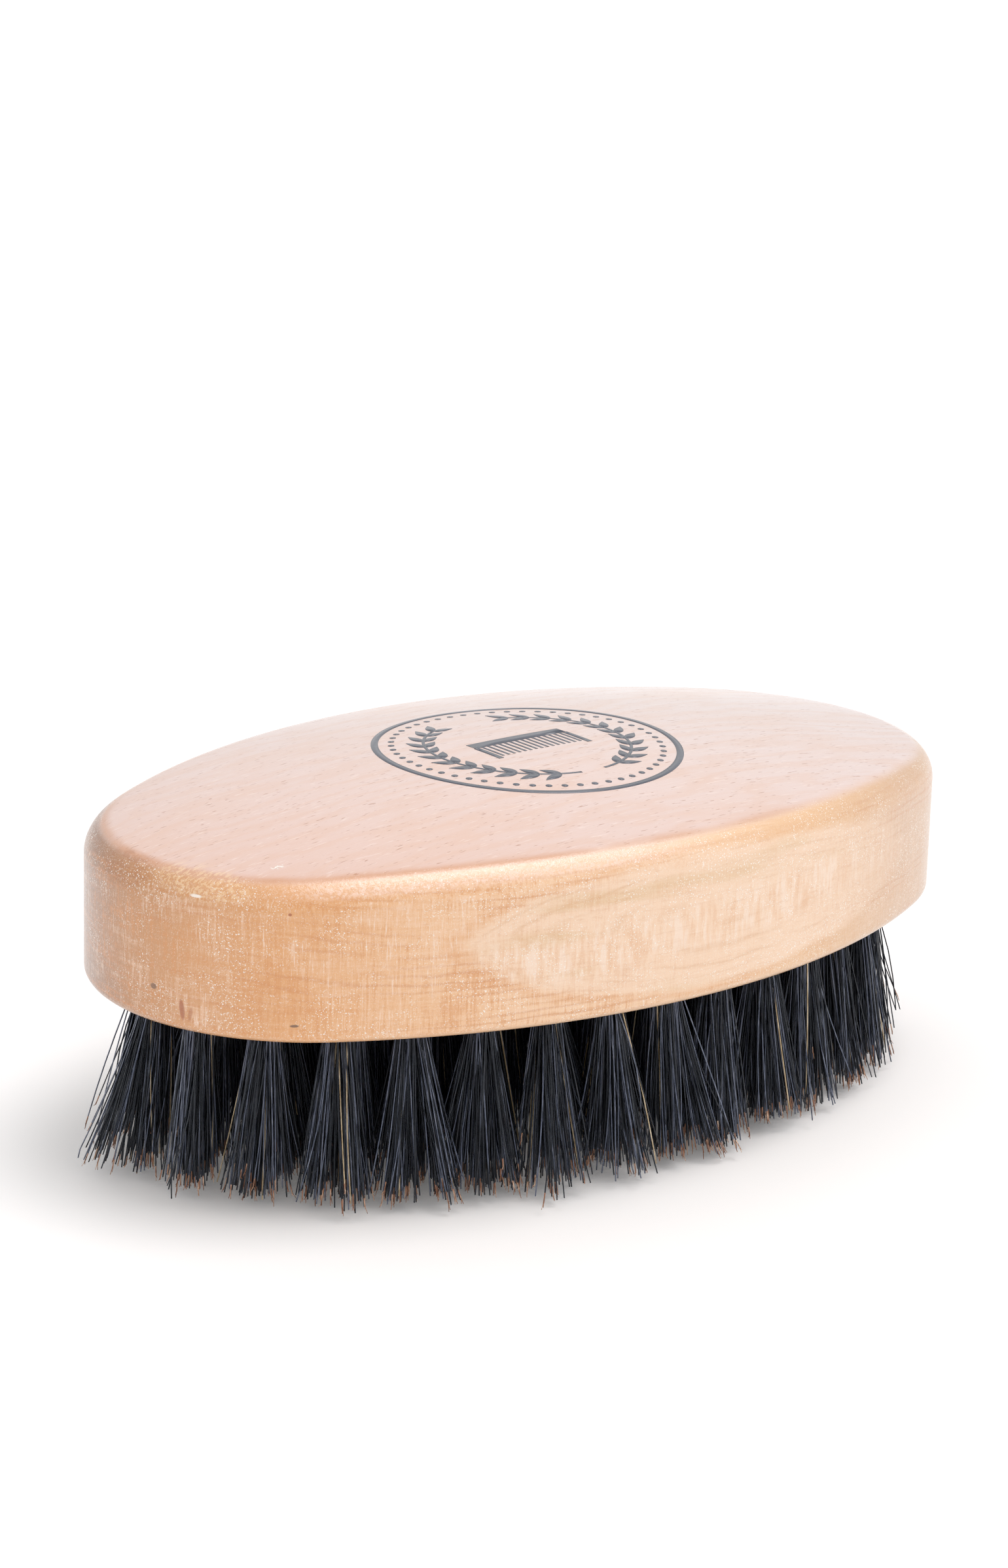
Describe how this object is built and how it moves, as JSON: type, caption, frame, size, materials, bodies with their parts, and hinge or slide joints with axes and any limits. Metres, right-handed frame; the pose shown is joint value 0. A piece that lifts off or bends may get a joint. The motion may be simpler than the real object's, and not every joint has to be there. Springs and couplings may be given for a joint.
{
  "type": "beard brush",
  "caption": "Palm-held oval beard brush: a domed wooden back with folded boar-bristle tufts stapled into blind holes.",
  "frame": {"origin": "on the plane of the bristle tips, under the middle of the back", "axes": "+X along the brush, +Y across it, +Z from the bristle tips up to the domed top"},
  "size_m": [0.12, 0.07, 0.0455],
  "materials": {
    "wood": "clear satin lacquer",
    "bristle": "natural boar bristle, black with pale and brown tips",
    "staple": "bright drawn wire"
  },
  "bodies": {
    "root": {"brush_back": "wood", "tuft_outer_01": "bristle", "tuft_outer_02": "bristle", "tuft_outer_03": "bristle", "tuft_outer_04": "bristle", "tuft_outer_05": "bristle", "tuft_outer_06": "bristle", "tuft_outer_07": "bristle", "tuft_outer_08": "bristle", "tuft_outer_09": "bristle", "tuft_outer_10": "bristle", "tuft_outer_11": "bristle", "tuft_outer_12": "bristle", "tuft_outer_13": "bristle", "tuft_outer_14": "bristle", "tuft_outer_15": "bristle", "tuft_outer_16": "bristle", "tuft_outer_17": "bristle", "tuft_outer_18": "bristle", "tuft_outer_19": "bristle", "tuft_outer_20": "bristle", "tuft_outer_21": "bristle", "tuft_outer_22": "bristle", "tuft_outer_23": "bristle", "tuft_outer_24": "bristle", "tuft_outer_25": "bristle", "tuft_outer_26": "bristle", "tuft_outer_27": "bristle", "tuft_outer_28": "bristle", "tuft_outer_29": "bristle", "tuft_outer_30": "bristle", "tufts_second": "bristle", "tufts_third": "bristle", "tufts_inner": "bristle", "tufts_centre": "bristle", "staples_outer": "staple", "staples_second": "staple", "staples_third": "staple", "staples_inner": "staple", "staples_centre": "staple"}
  },
  "joints": []
}
